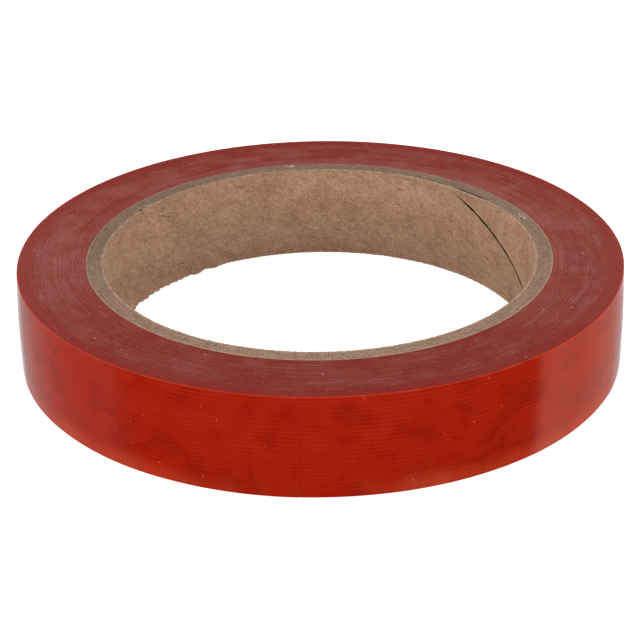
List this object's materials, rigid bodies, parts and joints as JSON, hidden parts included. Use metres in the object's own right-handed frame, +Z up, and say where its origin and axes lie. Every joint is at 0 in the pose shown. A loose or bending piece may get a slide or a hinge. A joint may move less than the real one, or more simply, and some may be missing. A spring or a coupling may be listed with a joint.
{
  "type": "tape roll",
  "caption": "Roll of narrow glossy film tape wound on a spiral-wound paper core, with a loose end that peels off the outside.",
  "frame": {"origin": "on the roll's axis, in the plane of the side face that it lies on", "axes": "+Z up along the roll's axis; the tape's cut end is on the outside, 4.1 degrees clockwise of -Y"},
  "size_m": [0.1074, 0.1074, 0.0177],
  "materials": {
    "kraft_liner": "matte",
    "kraft_board": "matte",
    "tape_edges": "matte",
    "tape_face": "gloss"
  },
  "bodies": {
    "roll": {"liner_ply": "kraft_liner", "board_ply_1": "kraft_board", "board_ply_2": "kraft_board", "board_ply_3": "kraft_board", "board_ply_4": "kraft_board", "board_ply_5": "kraft_board", "cover_ply": "kraft_board", "wound_pack": "tape_edges", "outer_turn": "tape_face"},
    "tape_end": {"loose_end": "tape_face"}
  },
  "joints": [
    {"name": "end_peel", "type": "hinge", "parent": "roll", "child": "tape_end", "pos_m": [-0.0194, -0.05015, 0.00885], "axis": [0, 0, -1], "range_deg": [0, 120]}
  ]
}
